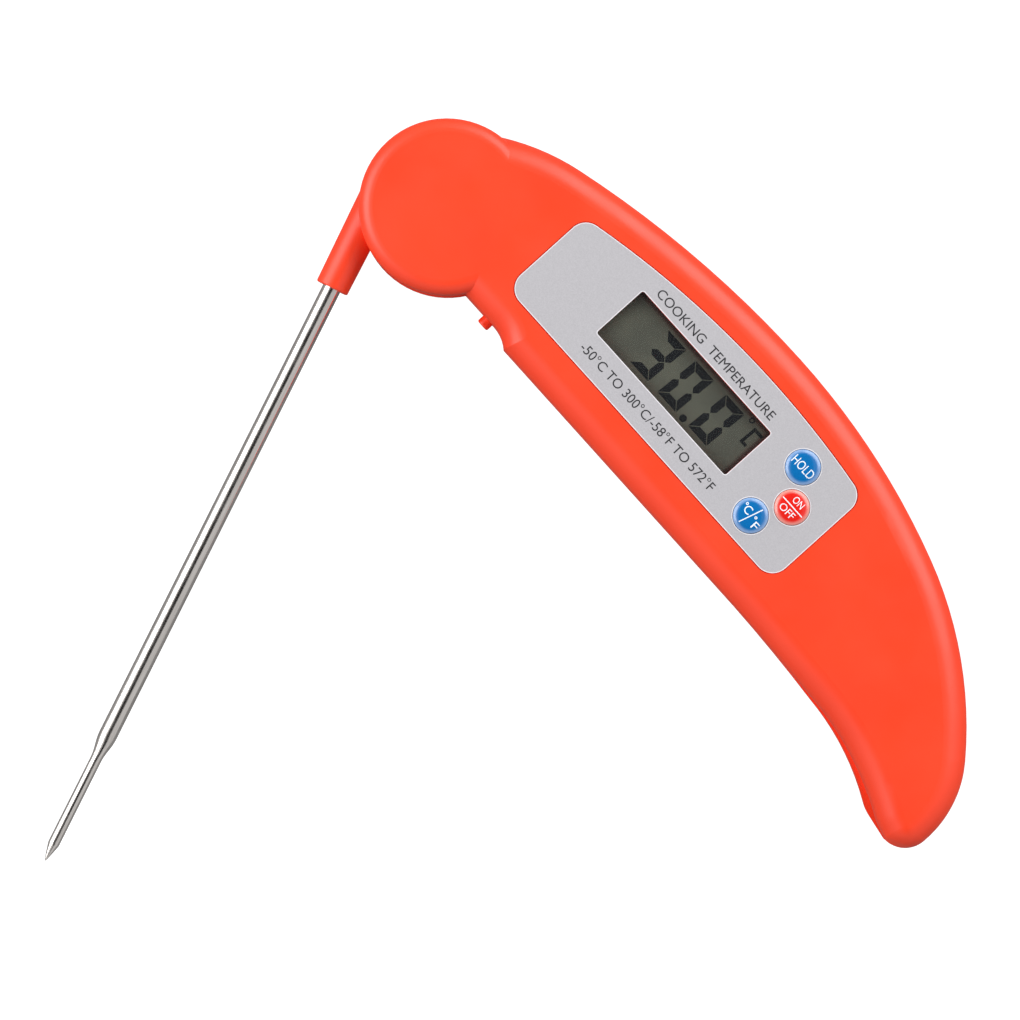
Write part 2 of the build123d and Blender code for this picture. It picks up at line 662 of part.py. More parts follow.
def wave_washer():
    """Spring washer behind the hub, which gives the hinge its drag."""
    return ring(WASHER_R[0], WASHER_R[1], HUB_BAY_Z[0] + 0.04, HUB_Z[0] - 0.04)


def thrust_washer():
    """Slippery washer in front of the hub."""
    return ring(WASHER_R[0], WASHER_R[1], HUB_Z[1] + 0.04, HUB_BAY_Z[1] - 0.04)


def arm_hub():
    """Drum between the discs of the head, with the tapered arm on its rim."""
    hub = post(HUB_R, HUB_Z[0], HUB_Z[1])
    hub = fillet(hub.edges().filter_by(GeomType.CIRCLE), 0.3)
    arm = along(ARM_ROOT_R, 0.0, ARM_MOUTH, -ARM_OFFSET, SEAM_Z, ARM_MOUTH_R)
    arm = fillet(arm.edges().group_by(Axis.X)[-1], 0.35)
    hub += arm
    hub -= ring(HUB_POCKET_R[0], HUB_POCKET_R[1], HUB_POCKET_FLOOR, HUB_Z[1] + 1.0)
    hub -= post(BUSH_R + BUSH_CLEARANCE, 0.0, THICKNESS)
    hub -= along(1.0, 2.0, TUBE_START + 1.0, -ARM_OFFSET, SEAM_Z)
    return hub - along(SOCKET_R, TUBE_START, ARM_MOUTH + 1.0, -ARM_OFFSET, SEAM_Z)


def probe_tube():
    """Steel tube, drawn down to a thin point at its end."""
    outline = Polyline(
        (TUBE_START, TUBE_BORE_R), (TUBE_START, SOCKET_R), (ARM_MOUTH, SOCKET_R), (ARM_MOUTH, TUBE_R),
        (NECK_START, TUBE_R), (NECK_END, TIP_R), (TAPER_START, TIP_R), (TIP_END, TIP_FLAT_R),
        (TIP_END, 0.0), (TIP_BORE_END, 0.0), (TIP_BORE_END, TIP_BORE_R), (NECK_END, TIP_BORE_R),
        (NECK_START, TUBE_BORE_R), (TUBE_START, TUBE_BORE_R),
    )
    tube = revolve(make_face(outline), Axis.X)
    return Pos(0, -ARM_OFFSET, SEAM_Z) * tube


def thermistor_bead():
    """Glass bead that senses the heat, in the tip."""
    return Pos(BEAD_X, -ARM_OFFSET, SEAM_Z) * Sphere(BEAD_R)


def lead(points, bend):
    """One conductor along a bent path."""
    path = FilletPolyline(*points, radius=bend)
    return sweep(Plane(origin=path @ 0, z_dir=path % 0) * Circle(WIRE_R), path=path)


def probe_wires():
    """The sensor's two conductors, from the hub's pocket to the bead."""
    end = BEAD_X - BEAD_R + 0.1
    leads = []
    for side in (-0.5, 0.5):
        z = SEAM_Z + side * WIRE_PITCH
        leads.append(lead([(-7.5, -5.5, z + 2.6), (-1.5, -ARM_OFFSET, z), (end, -ARM_OFFSET, z)], 3.0))
    return Compound(leads)


def handle_wires():
    """The sensor's two conductors, from the board to the hollow over the hub."""
    height = HUB_BAY_Z[1] + 0.85
    leads = []
    for side in (-1.0, 1.0):
        y = side * WIRE_PITCH
        leads.append(lead([(24.3, y, BOARD_Z[1]), (24.3, y, height), (9.0, y, height)], 1.5))
    return Compound(leads)


HOUSING = [
    front_shell, rear_shell, display_label, display_window, lcd_front_polariser, lcd_glass_front,
    lcd_glass_rear, lcd_reflector, lcd_frame, zebra_strips, circuit_board, chip_blob, smd_passives,
    tact_switches, board_screws, housing_screws, battery_contact_negative, battery_contact_positive,
    battery_cell, battery_door, battery_door_seal, fold_plunger, plunger_spring, fold_switch,
    pivot_bush, pivot_screw, wave_washer, thrust_washer, handle_wires,
]
ARM = [arm_hub, probe_tube, thermistor_bead, probe_wires]


def write_parts():
    """Write one file for each piece, at rest."""
    os.makedirs("parts", exist_ok=True)
    for make in HOUSING:
        export_step(make(), f"parts/{make.__name__}.step")
    for make in ARM:
        export_step(Rot(0, 0, ARM_REST_ANGLE) * make(), f"parts/{make.__name__}.step")
    for name, place in BUTTON_AT.items():
        export_step(button(place), f"parts/{name}.step")


write_parts()
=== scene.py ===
"""Looks of a folding digital meat thermometer, around its fixed CAD frame. Lengths are in millimetres
until they reach Blender, which has metres."""
import math

import bmesh
import bpy
from mathutils import Matrix, Vector


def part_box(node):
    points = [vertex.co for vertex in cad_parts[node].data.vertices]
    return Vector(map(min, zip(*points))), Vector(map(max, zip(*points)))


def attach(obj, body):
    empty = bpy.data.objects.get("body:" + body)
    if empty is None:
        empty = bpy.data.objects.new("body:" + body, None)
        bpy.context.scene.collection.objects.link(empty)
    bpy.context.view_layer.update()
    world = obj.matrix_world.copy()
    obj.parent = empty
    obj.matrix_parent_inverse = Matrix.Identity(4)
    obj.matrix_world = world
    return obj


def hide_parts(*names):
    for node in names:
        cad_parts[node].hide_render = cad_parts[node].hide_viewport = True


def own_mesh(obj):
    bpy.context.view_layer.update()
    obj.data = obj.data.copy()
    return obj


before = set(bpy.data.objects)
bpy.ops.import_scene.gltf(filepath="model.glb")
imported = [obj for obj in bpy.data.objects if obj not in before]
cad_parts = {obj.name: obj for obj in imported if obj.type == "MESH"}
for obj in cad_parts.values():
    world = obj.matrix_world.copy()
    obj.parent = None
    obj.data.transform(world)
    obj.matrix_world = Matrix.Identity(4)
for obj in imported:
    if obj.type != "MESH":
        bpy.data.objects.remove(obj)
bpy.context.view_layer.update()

MM = 0.001
SCENE = bpy.context.scene


# ---------------------------------------------------------------- places, from the frame
def span(node):
    """Lowest and highest corner of a CAD node, in millimetres."""
    low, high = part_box(node)
    return low / MM, high / MM


def middle(node):
    """Centre of a CAD node, in millimetres."""
    low, high = span(node)
    return (low + high) / 2


LABEL_HIGH = span("display_label")[1]
GLASS_LOW, GLASS_HIGH = span("lcd_front_polariser")
WINDOW_MARGIN = 0.85  # how far the polariser runs on behind the window's edge
WINDOW_X = (GLASS_LOW.x + WINDOW_MARGIN, GLASS_HIGH.x - WINDOW_MARGIN)
WINDOW_Y = (GLASS_LOW.y + WINDOW_MARGIN, GLASS_HIGH.y - WINDOW_MARGIN)
CAP_TOP = span("hold_button")[1].z
CAP_RADIUS = 3.2
SEAM_Z = middle("probe_tube").z
PROBE_ANGLE = math.radians(-68.6)
PROBE_OFFSET = 12.2  # the probe's line passes the hinge axis at this distance


# ---------------------------------------------------------------- materials
def colour(hex_code):
    """A linear colour from an sRGB hex code."""
    channels = [int(hex_code[i:i + 2], 16) / 255 for i in (0, 2, 4)]
    linear = [c / 12.92 if c <= 0.04045 else ((c + 0.055) / 1.055) ** 2.4 for c in channels]
    return (*linear, 1.0)


def add(tree, kind, inputs=None, **settings):
    """Add a node. An input is given a value, or another node's output to link to."""
    node = tree.nodes.new(kind)
    for name, value in settings.items():
        setattr(node, name, value)
    for key, value in (inputs or {}).items():
        if isinstance(value, bpy.types.NodeSocket):
            tree.links.new(value, node.inputs[key])
        else:
            node.inputs[key].default_value = value
    return node


def finish_of(name, **values):
    """A material with one Principled shader, its values set by socket name."""
    material = bpy.data.materials.new(name)
    material.use_nodes = True
    shader = material.node_tree.nodes["Principled BSDF"]
    for key, value in values.items():
        shader.inputs[key.replace("_", " ")].default_value = value
    return material, material.node_tree, shader


def per(size_mm):
    """Noise scale that gives features of this size."""
    return 1.0 / (size_mm * MM)


def grain(tree, shader, size_mm, height_mm, strength, vector=None, detail=2.0):
    """Fine relief on the surface, from noise of a real size."""
    place = vector or add(tree, "ShaderNodeTexCoord").outputs["Object"]
    noise = add(tree, "ShaderNodeTexNoise", {"Vector": place, "Scale": per(size_mm), "Detail": detail})
    bump = add(tree, "ShaderNodeBump", {
        "Height": noise.outputs["Fac"], "Strength": strength, "Distance": height_mm * MM})
    tree.links.new(bump.outputs["Normal"], shader.inputs["Normal"])


def mottle(tree, shader, first, second, size_mm, vector=None, low=0.35, high=0.65, detail=2.0):
    """Two near colours that drift into each other over a real distance."""
    place = vector or add(tree, "ShaderNodeTexCoord").outputs["Object"]
    noise = add(tree, "ShaderNodeTexNoise", {"Vector": place, "Scale": per(size_mm), "Detail": detail})
    share = add(tree, "ShaderNodeMapRange", {
        "Value": noise.outputs["Fac"], "From Min": low, "From Max": high})
    mix = add(tree, "ShaderNodeMix", {
        0: share.outputs["Result"], 6: colour(first), 7: colour(second)}, data_type="RGBA")
    tree.links.new(mix.outputs[2], shader.inputs["Base Color"])
    return mix


def drift(tree, shader, low, high, size_mm):
    """Roughness that drifts between two values, as handled and moulded surfaces have it."""
    place = add(tree, "ShaderNodeTexCoord").outputs["Object"]
    noise = add(tree, "ShaderNodeTexNoise", {"Vector": place, "Scale": per(size_mm), "Detail": 3.0})
    value = add(tree, "ShaderNodeMapRange", {
        "Value": noise.outputs["Fac"], "From Min": 0.3, "From Max": 0.7, "To Min": low, "To Max": high})
    tree.links.new(value.outputs["Result"], shader.inputs["Roughness"])


def moulded_abs():
    """ABS from a spark-eroded mould: an even warm red with a satin sheen along the round rims."""
    material, tree, shader = finish_of("moulded_abs_red", IOR=1.53)
    mottle(tree, shader, "FB431F", "F83F1B", 14.0)
    drift(tree, shader, 0.36, 0.43, 9.0)
    grain(tree, shader, 0.16, 0.012, 0.35)
    return material


def printed_film():
    """Silver-printed polyester film: a flat grey with fine metal flakes that glint a little."""
    material, tree, shader = finish_of("silver_printed_film", Metallic=0.12, Roughness=0.46, IOR=1.57)
    # the flakes are 0.02 mm and are drawn at 0.22 mm, so that they show
    mottle(tree, shader, "B3B1B5", "BFBDC1", 0.22, low=0.3, high=0.7, detail=4.0)
    grain(tree, shader, 0.3, 0.004, 0.3)
    return material


def black_ink():
    """Screen-printed ink: near black, a little duller than the film under it."""
    material, tree, shader = finish_of("screen_print_black", Roughness=0.55)
    mottle(tree, shader, "1B1B1E", "242428", 0.8)
    return material


def film_edge():
    """Cut edge of the film: the white core of the polyester, paler than the silver print."""
    material, tree, shader = finish_of("polyester_cut_edge", Roughness=0.5, IOR=1.57)
    mottle(tree, shader, "E9E6EA", "DEDBDF", 0.6)
    return material


def white_ink():
    """Screen-printed white under the clear dome of a button."""
    material, tree, shader = finish_of("screen_print_white", Roughness=0.3)
    mottle(tree, shader, "F4F8FC", "E9F0F8", 0.8)
    return material


def clear_acrylic():
    """Cast acrylic lens: almost invisible, with a faint reflection."""
    return finish_of(
        "cast_acrylic_clear", Base_Color=colour("8E9490"), Roughness=0.04, IOR=1.49, Alpha=0.02)[0]


def polariser():
    """Polarising film over a reflector: the olive grey of a passive display, with a painted red-brown shade
    towards its +X and +Y edges.
    """
    material, tree, shader = finish_of("polariser_olive_grey", Roughness=0.4, Specular_IOR_Level=0.15)
    tone = mottle(tree, shader, "53544A", "4A4B43", 6.0, detail=3.0)
    place = add(tree, "ShaderNodeSeparateXYZ", {0: add(tree, "ShaderNodeTexCoord").outputs["Object"]})
    # the two walls of the opening that face the light's far side throw their red shade on the film
    shades = [add(tree, "ShaderNodeMapRange", {
        "Value": place.outputs[axis], "From Min": (edge - 1.2) * MM, "From Max": (edge - 0.3) * MM},
        interpolation_type="SMOOTHSTEP").outputs["Result"]
        for axis, edge in (("X", WINDOW_X[1]), ("Y", WINDOW_Y[1]))]
    shade = add(tree, "ShaderNodeMath", {0: shades[0], 1: shades[1]}, operation="MAXIMUM")
    mix = add(tree, "ShaderNodeMix", {
        0: shade.outputs[0], 6: tone.outputs[2], 7: colour("33201D")}, data_type="RGBA")
    tree.links.new(mix.outputs[2], shader.inputs["Base Color"])
    return material


def liquid_crystal():
    """Switched segments: blue-black, as flat as the film they lie in."""
    material, tree, shader = finish_of("liquid_crystal_dark", Roughness=0.4, Specular_IOR_Level=0.15)
    mottle(tree, shader, "08090F", "0D0E14", 1.5)
    return material


def domed_cap(name, core, rim_and_highlight, centre):
    """Glossy cap with a clear doming layer: full colour in the middle and paler where the dome turns down, a
    ring that is partly the dome's clear edge and partly a painted edge highlight.
    """
    material, tree, shader = finish_of(
        name, Roughness=0.2, IOR=1.5, Coat_Weight=0.5, Coat_Roughness=0.05)
    place = add(tree, "ShaderNodeTexCoord").outputs["Object"]
    flat = add(tree, "ShaderNodeMapping", {
        "Vector": place, "Location": Vector((-centre.x, -centre.y, 0.0)) * MM, "Scale": (1.0, 1.0, 0.0)})
    away = add(tree, "ShaderNodeVectorMath", {0: flat.outputs["Vector"]}, operation="LENGTH")
    # painted highlight: the paler ring near the edge stands partly for the clear dome's edge and partly for
    # the light it catches there
    share = add(tree, "ShaderNodeMapRange", {
        "Value": away.outputs["Value"], "From Min": 2.3 * MM, "From Max": 3.1 * MM},
        interpolation_type="SMOOTHSTEP")
    mix = add(tree, "ShaderNodeMix", {
        0: share.outputs["Result"], 6: colour(core), 7: colour(rim_and_highlight)}, data_type="RGBA")
    tree.links.new(mix.outputs[2], shader.inputs["Base Color"])
    return material


def drawn_stainless():
    """Stainless tube, cold drawn and polished: bright, with hair-fine lines along its length."""
    material, tree, shader = finish_of("drawn_stainless_steel", Metallic=1.0)
    place = add(tree, "ShaderNodeTexCoord").outputs["Object"]
    along_probe = add(tree, "ShaderNodeMapping", {
        "Vector": place, "Rotation": (0.0, 0.0, -PROBE_ANGLE)}, vector_type="POINT")
    lines = add(tree, "ShaderNodeMapping", {
        "Vector": along_probe.outputs["Vector"], "Scale": (0.02, 1.0, 1.0)}).outputs["Vector"]
    # the draw lines are a few hundredths of a millimetre apart and are drawn at 0.18 mm
    mottle(tree, shader, "F2EDE9", "DDD7D2", 0.18, vector=lines)
    drift(tree, shader, 0.16, 0.24, 4.0)
    grain(tree, shader, 0.18, 0.006, 0.35, vector=lines)
    return material


def plain_finish(name, first, second, size_mm, roughness, relief_mm=0.005, **values):
    """A material for small and inner pieces: two near colours, one roughness and a fine relief."""
    material, tree, shader = finish_of(name, Roughness=roughness, **values)
    mottle(tree, shader, first, second, size_mm)
    grain(tree, shader, size_mm / 4, relief_mm, 0.4)
    return material


def board_laminate():
    """Green solder mask over copper tracks: a slightly lighter green where the tracks run."""
    material, tree, shader = finish_of("solder_mask_green", Roughness=0.35, IOR=1.5)
    place = add(tree, "ShaderNodeTexCoord").outputs["Object"]
    bricks = add(tree, "ShaderNodeTexBrick", {
        "Vector": place, "Color1": colour("0F5A2C"), "Color2": colour("17703A"),
        "Mortar": colour("0B4421"), "Scale": per(6.0), "Mortar Size": 0.03})
    tree.links.new(bricks.outputs["Color"], shader.inputs["Base Color"])
    grain(tree, shader, 0.4, 0.01, 0.3)
    return material


def zebra_rubber():
    """Contact rubber: pink silicone with fine black conducting stripes, 0.2 mm apart on the real one."""
    material, tree, shader = finish_of("zebra_silicone_striped", Roughness=0.6)
    place = add(tree, "ShaderNodeTexCoord").outputs["Object"]
    wave = add(tree, "ShaderNodeTexWave", {"Vector": place, "Scale": per(0.6) / 20}, bands_direction="X")
    mix = add(tree, "ShaderNodeMix", {
        0: wave.outputs["Fac"], 6: colour("1A1718"), 7: colour("D98C7C")}, data_type="RGBA")
    tree.links.new(mix.outputs[2], shader.inputs["Base Color"])
    return material


ABS = moulded_abs()
FILM = printed_film()
INK = black_ink()
EDGE = film_edge()
WHITE = white_ink()
LENS = clear_acrylic()
POLARISER = polariser()
SEGMENTS = liquid_crystal()
STEEL = drawn_stainless()
BLACK_PLASTIC = plain_finish("moulded_black_nylon", "121212", "1A1A1B", 3.0, 0.5)
ZINC = plain_finish("zinc_plated_steel", "C9C8C2", "B4B3AE", 0.8, 0.3, Metallic=1.0)
NICKEL = plain_finish("nickel_plated_spring_strip", "D2CDBF", "BFB9AB", 1.2, 0.25, Metallic=1.0)
CELL_CAN = plain_finish("nickel_plated_can", "D6D5D1", "C4C3BF", 2.0, 0.22, Metallic=1.0)
NITRILE = plain_finish("nitrile_rubber_black", "101010", "181818", 0.8, 0.55)
RESIN = plain_finish("epoxy_resin_black", "0A0A0A", "141414", 2.0, 0.2)
CHIP = plain_finish("sintered_chip_tan", "8F7650", "6E5A3D", 0.6, 0.5)
ACETAL = plain_finish("acetal_natural", "E4E2D9", "D9D6CB", 1.5, 0.4)
GLASS = plain_finish("float_glass", "C9D6D0", "BFCCC6", 5.0, 0.05, Alpha=0.25)
SILVERED = plain_finish("silvered_reflector_film", "9FA295", "8E9185", 1.0, 0.4, Metallic=0.6)
BEAD = plain_finish("bead_glass_amber", "8A4A1C", "6E3814", 0.3, 0.1)
ENAMEL = plain_finish("enamelled_copper_wire", "B5541C", "9A4515", 0.5, 0.3)

CAD_FINISHES = {
    "front_shell": ABS, "rear_shell": ABS, "arm_hub": ABS, "battery_door": ABS, "fold_plunger": ABS,
    "display_label": FILM, "display_window": LENS, "lcd_front_polariser": POLARISER,
    "lcd_glass_front": GLASS, "lcd_glass_rear": GLASS, "lcd_reflector": SILVERED,
    "lcd_frame": BLACK_PLASTIC, "zebra_strips": zebra_rubber(), "circuit_board": board_laminate(),
    "chip_blob": RESIN, "smd_passives": CHIP, "tact_switches": BLACK_PLASTIC,
    "fold_switch": BLACK_PLASTIC, "board_screws": ZINC, "housing_screws": ZINC, "pivot_screw": ZINC,
    "pivot_bush": ZINC, "wave_washer": NICKEL, "thrust_washer": ACETAL,
    "battery_contact_negative": NICKEL, "battery_contact_positive": NICKEL, "battery_cell": CELL_CAN,
    "battery_door_seal": NITRILE, "thermistor_bead": BEAD, "probe_wires": ENAMEL,
    "handle_wires": ENAMEL,
}


def dress_frame():
    """Give every CAD node that stays in view its material."""
    for name, material in CAD_FINISHES.items():
        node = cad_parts[name]
        for place in node.material_slots:
            place.material = material


# ---------------------------------------------------------------- mesh helpers
def piece(name, mesh, material, body, smooth=None):
    """Put a finished mesh in the scene, on a body."""
    mesh.name = name
    if material is not None:
        mesh.materials.clear()
        mesh.materials.append(material)
    obj = bpy.data.objects.new(name, mesh)
    SCENE.collection.objects.link(obj)
    if smooth is not None:
        mesh.shade_smooth()
        mesh.set_sharp_from_angle(angle=math.radians(smooth))
    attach(obj, body)
    return obj


def from_bmesh(bm):
    """A mesh in metres from a bmesh in millimetres, doubles merged and faces outwards."""
    bmesh.ops.remove_doubles(bm, verts=bm.verts, dist=0.0005)
    bmesh.ops.recalc_face_normals(bm, faces=bm.faces)
    bmesh.ops.scale(bm, vec=(MM, MM, MM), verts=bm.verts)
    mesh = bpy.data.meshes.new("piece")
    bm.to_mesh(mesh)
    bm.free()
    return mesh


def slab(bm, outline, low, high):
    """A closed plate with this outline."""
    face = bm.faces.new([bm.verts.new((x, y, low)) for x, y in outline])
    plate = bmesh.ops.extrude_face_region(bm, geom=[face])
    raised = [v for v in plate["geom"] if isinstance(v, bmesh.types.BMVert)]
    bmesh.ops.translate(bm, vec=(0, 0, high - low), verts=raised)


def glyphs(text):
    """The mesh of a line of text at size 1, with a little thickness."""
    curve = bpy.data.curves.new("lettering", "FONT")
    curve.body = text
    curve.extrude = 0.01
    curve.resolution_u = 6
    holder = bpy.data.objects.new("lettering", curve)
    SCENE.collection.objects.link(holder)
    bpy.context.view_layer.update()
    mesh = bpy.data.meshes.new_from_object(holder.evaluated_get(bpy.context.evaluated_depsgraph_get()))
    bpy.data.objects.remove(holder)
    bpy.data.curves.remove(curve)
    return mesh


def extent(mesh, axis):
    """Lowest and highest coordinate of a mesh along one axis."""
    values = [v.co[axis] for v in mesh.vertices]
    return min(values), max(values)


CAPITAL_HEIGHT = extent(glyphs("H"), 1)[1]


def letter(bm, text, left, right, baseline, capital, low, thick):
    """Add a line of text between two places, with its capitals this high."""
    mesh = glyphs(text)
    x0, x1 = extent(mesh, 0)
    z0, z1 = extent(mesh, 2)
    for v in mesh.vertices:
        v.co.x = left + (v.co.x - x0) / (x1 - x0) * (right - left)
        v.co.y = baseline + v.co.y / CAPITAL_HEIGHT * capital
        v.co.z = low + (v.co.z - z0) / (z1 - z0) * thick
    bm.from_mesh(mesh)
    bpy.data.meshes.remove(mesh)


def stroke(bm, start, end, width, low, high):
    """A straight printed line."""
    a, b = Vector(start), Vector(end)
    side = (b - a).orthogonal().normalized() * width / 2
    slab(bm, [a + side, a - side, b - side, b + side], low, high)


def circle(radius, count, centre=(0.0, 0.0)):
    """Points round a circle."""
    step = math.tau / count
    return [(centre[0] + radius * math.cos(i * step), centre[1] + radius * math.sin(i * step))
            for i in range(count)]


def ring_between(bm, first, second, low, high):
    """A closed flat ring between two outlines with as many points each."""
    rows = [[bm.verts.new((x, y, z)) for x, y in outline]
            for outline, z in ((first, low), (second, low), (second, high), (first, high))]
    count = len(first)
    for row, following in zip(rows, rows[1:] + rows[:1]):
        for i in range(count):
            j = (i + 1) % count
            bm.faces.new((row[i], row[j], following[j], following[i]))


def hoop(bm, centre, inner, outer, low, high, count=28):
    """A flat round ring, closed."""
    ring_between(bm, circle(inner, count, centre), circle(outer, count, centre), low, high)


def turned(profile, centre, count=96):
    """A closed turned piece. The profile runs from the axis at the foot to the axis at the top."""
    bm = bmesh.new()
    rows = []
    for radius, height in profile:
        if radius == 0.0:
            rows.append([bm.verts.new((*centre, height))])
        else:
            rows.append([bm.verts.new((x, y, height)) for x, y in circle(radius, count, centre)])
    for row, following in zip(rows, rows[1:]):
        for i in range(count):
            j = (i + 1) % count
            corners = [row[i % len(row)], row[j % len(row)], following[j % len(following)],
                       following[i % len(following)]]
            bm.faces.new(list(dict.fromkeys(corners)))
    return from_bmesh(bm)


# ---------------------------------------------------------------- printed label
INK_THICK = 0.012
LABEL_CAPITAL = 1.72
LABEL_LINES = (  # each with its left end, its right end and its baseline
    ("COOKING  TEMPERATURE", WINDOW_X[0] + 2.05, WINDOW_X[1] - 1.9, WINDOW_Y[1] + 1.2),
    ("-50°C TO 300°C/-58°F TO 572°F", WINDOW_X[0] + 0.05, WINDOW_X[1] + 0.3, WINDOW_Y[0] - 4.1),
)
EDGE_WIDTH = 0.16
EDGE_SUNK = 0.02
EDGE_PROUD = 0.008


def label_print():
    """The heading over the display and the range under it."""
    bm = bmesh.new()
    for text, left, right, baseline in LABEL_LINES:
        letter(bm, text, left, right, baseline, LABEL_CAPITAL, LABEL_HIGH.z, INK_THICK)
    piece("label_print", from_bmesh(bm), INK, "handle")


def film_borders():
    """The closed borders of the film's top face in millimetres, each with the film on its left."""
    weld, skin = 0.002, 0.01  # corners this near are one, and faces this near the top are the top
    bm = bmesh.new()
    bm.from_mesh(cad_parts["display_label"].data)
    bmesh.ops.remove_doubles(bm, verts=bm.verts, dist=weld * MM)
    top = {f for f in bm.faces
           if f.normal.z > 0.9 and f.calc_center_median().z > (LABEL_HIGH.z - skin) * MM}
    following = {}
    for face in top:
        for loop in face.loops:
            if not all(f in top for f in loop.edge.link_faces):
                following[loop.vert] = loop.link_loop_next.vert
    borders = []
    while following:
        vert, after = following.popitem()
        border = [vert.co.xy / MM]
        while after in following:
            border.append(after.co.xy / MM)
            after = following.pop(after)
        borders.append(border)
    bm.free()
    return borders


def cut_edges():
    """The pale cut edge of the film, round its outside, the display and the buttons."""
    bm = bmesh.new()
    for border in film_borders():
        count = len(border)
        inner = []
        for i, point in enumerate(border):
            course = (border[(i + 1) % count] - border[i - 1]).normalized()
            inner.append(point + Vector((-course.y, course.x)) * EDGE_WIDTH)
        ring_between(bm, border, inner, LABEL_HIGH.z - EDGE_SUNK, LABEL_HIGH.z + EDGE_PROUD)
    piece("label_cut_edge", from_bmesh(bm), EDGE, "handle")


# ---------------------------------------------------------------- display
DIGIT_WIDTH = 4.9
DIGIT_HEIGHT = 8.85
BAR = 1.45
GAP = 0.1
DIGIT_FOOT = WINDOW_Y[0] + 1.1
SLANT = math.tan(math.radians(3.0))
LIT = {"3": "abcdg", "0": "abcdef"}
FIGURES = (("3", 42.35), ("0", 49.75), ("0", 57.9))  # each with its left edge
POINT_AT = (56.35, DIGIT_FOOT + 0.25)
POINT_RADIUS = 0.7
DEGREE_AT = (64.9, WINDOW_Y[1] - 0.95)
DEGREE_RADII = (0.28, 0.55)
SEGMENT_GAP = 0.004  # over the film that the segments lie on
SEGMENT_THICK = 0.012


def bar_outlines(width, height, bar, gap):
    """The outlines of the seven bars of a digit, mitred where they meet, by their usual letters."""
    half = height / 2
    mid = bar / 2
    across_low = [(gap, 0), (width - gap, 0), (width - bar - gap, bar), (bar + gap, bar)]
    across_mid = [(mid + gap, half), (bar + gap, half - mid), (width - bar - gap, half - mid),
                  (width - mid - gap, half), (width - bar - gap, half + mid), (bar + gap, half + mid)]
    side_low = [(0, gap), (bar, bar + gap), (bar, half - mid - gap), (mid, half - gap), (0, half - mid - gap)]
    flip = [(x, height - y) for x, y in across_low]
    left_high = [(x, height - y) for x, y in side_low]
    return {
        "a": flip, "d": across_low, "g": across_mid, "e": side_low, "f": left_high,
        "c": [(width - x, y) for x, y in side_low], "b": [(width - x, y) for x, y in left_high],
    }


def digit(bm, figure, left, foot, low, high):
    """One seven-bar figure, leaning a little."""
    bars = bar_outlines(DIGIT_WIDTH, DIGIT_HEIGHT, BAR, GAP)
    for name in LIT[figure]:
        slab(bm, [(left + x + y * SLANT, foot + y) for x, y in bars[name]], low, high)


def unit_sign(bm, low, high):
    """The unit's C: an upright and two arms, which lean like the figures and start clear of it."""
    left, right, foot, top, width = 66.05, 68.3, 10.8, 14.5, 0.6
    lean = 0.15
    half = width / 2
    stroke(bm, (left + half, foot), (left + half + lean, top), width, low, high)
    stroke(bm, (left + width + 0.2, top - half), (right + lean, top - half), width, low, high)
    stroke(bm, (left + width - 0.05, foot + half), (right - 0.75, foot + half), width, low, high)


def display_segments():
    """The switched segments: three figures, the point, the degree ring and the unit."""
    bm = bmesh.new()
    low = GLASS_HIGH.z + SEGMENT_GAP
    high = low + SEGMENT_THICK
    for figure, left in FIGURES:
        digit(bm, figure, left, DIGIT_FOOT, low, high)
    slab(bm, circle(POINT_RADIUS, 24, POINT_AT), low, high)
    hoop(bm, DEGREE_AT, *DEGREE_RADII, low, high)
    unit_sign(bm, low, high)
    piece("display_segments", from_bmesh(bm), SEGMENTS, "handle")


# ---------------------------------------------------------------- buttons
CAP_RISE = 0.7
CAP_CROWN = CAP_TOP - 0.03  # leaves the legend's thickness under the top of the frame
DOME_POWER = 3.4  # the higher, the flatter the dome's middle
DOME_STEPS = 26
STEM_RADIUS = 1.0
STEM_BEVEL = 0.1
FLANGE_HEIGHTS = (0.8, 1.25)  # lower and upper face, over the stem's foot
CAP_FOOT = 1.3
LEGEND_THICK = 0.02
LEGEND_SUNK = 0.03
LEGEND_CUTS = 18  # enough for a long stroke to follow the dome


def cap_height(radius):
    """Height of a button's dome: nearly level in the middle and steep at its edge."""
    share = min(radius / CAP_RADIUS, 1.0)
    return CAP_CROWN - CAP_RISE + CAP_RISE * math.sqrt(max(0.0, 1.0 - share ** DOME_POWER))


def button_cap(node, name, material):
    """A domed cap with its flange and stem, in place of the plain one."""
    low, high = span(node)
    centre = middle(node)
    flange = (high.x - low.x) / 2
    under, over = (low.z + height for height in FLANGE_HEIGHTS)
    profile = [(0.0, low.z), (STEM_RADIUS - STEM_BEVEL, low.z), (STEM_RADIUS, low.z + STEM_BEVEL),
               (STEM_RADIUS, under), (flange, under), (flange, over), (CAP_RADIUS, low.z + CAP_FOOT)]
    for i in range(DOME_STEPS):
        radius = CAP_RADIUS * math.cos(i / DOME_STEPS * math.pi / 2)
        profile.append((radius, cap_height(radius)))
    profile.append((0.0, CAP_CROWN))
    cap = piece(name, turned(profile, (centre.x, centre.y)), material, node, smooth=40)
    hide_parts(node)


def lay_on_dome(bm, centre):
    """Bend a flat print, which is 1 mm thick until here, down over a button's dome."""
    long_edges = [e for e in bm.edges if e.calc_length() > 0.5]
    bmesh.ops.subdivide_edges(bm, edges=long_edges, cuts=LEGEND_CUTS)
    bmesh.ops.triangulate(bm, faces=bm.faces)
    for v in bm.verts:
        away = (Vector((v.co.x, v.co.y)) - centre).length
        v.co.z = cap_height(away) + (LEGEND_THICK if v.co.z > 0.5 else -LEGEND_SUNK)


